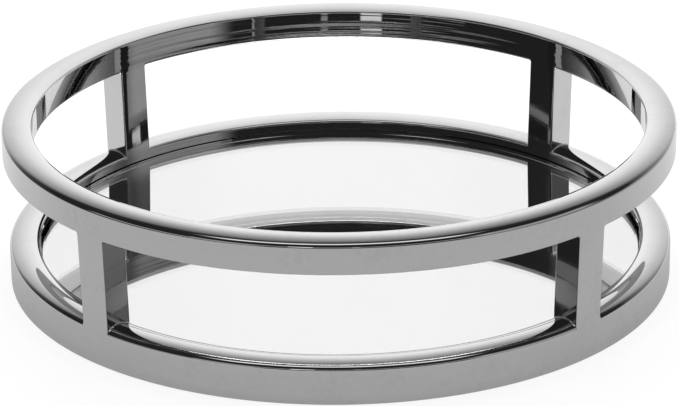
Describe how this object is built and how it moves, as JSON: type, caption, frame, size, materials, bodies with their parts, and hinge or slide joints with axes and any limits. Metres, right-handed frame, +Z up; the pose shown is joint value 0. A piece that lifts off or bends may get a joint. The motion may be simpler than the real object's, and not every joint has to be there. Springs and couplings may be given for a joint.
{
  "type": "round decorative tray",
  "caption": "Round open-sided tray: two rings of polished tube joined by short uprights, with a mirror base set in the lower ring.",
  "frame": {"origin": "centre of the resting plane, under the middle of the mirror", "axes": "+Z up along the axis of the rings, -Y towards the front window between the two front uprights"},
  "size_m": [0.4, 0.4, 0.1005],
  "materials": {
    "polished_frame": "mirror-polished stainless steel",
    "mirror": "back-silvered clear glass with seamed edges",
    "foam_tape": "closed-cell foam mounting tape",
    "base_board": "fibreboard painted matt black",
    "steel_lugs": "flat steel, lightly brushed",
    "zinc_screws": "bright zinc plate",
    "felt_pads": "pressed dark grey felt"
  },
  "bodies": {
    "root": {"upper_ring": "polished_frame", "lower_ring": "polished_frame", "post_rear_right": "polished_frame", "post_rear_left": "polished_frame", "post_front_left": "polished_frame", "post_front_right": "polished_frame", "mirror_glass": "mirror", "mirror_tape_1": "foam_tape", "mirror_tape_2": "foam_tape", "mirror_tape_3": "foam_tape", "mirror_tape_4": "foam_tape", "base_panel": "base_board", "lug_1": "steel_lugs", "lug_2": "steel_lugs", "lug_3": "steel_lugs", "lug_4": "steel_lugs", "lug_5": "steel_lugs", "lug_6": "steel_lugs", "lug_screw_1": "zinc_screws", "lug_screw_2": "zinc_screws", "lug_screw_3": "zinc_screws", "lug_screw_4": "zinc_screws", "lug_screw_5": "zinc_screws", "lug_screw_6": "zinc_screws", "felt_pad_1": "felt_pads", "felt_pad_2": "felt_pads", "felt_pad_3": "felt_pads", "felt_pad_4": "felt_pads", "felt_pad_5": "felt_pads", "felt_pad_6": "felt_pads"}
  },
  "joints": []
}
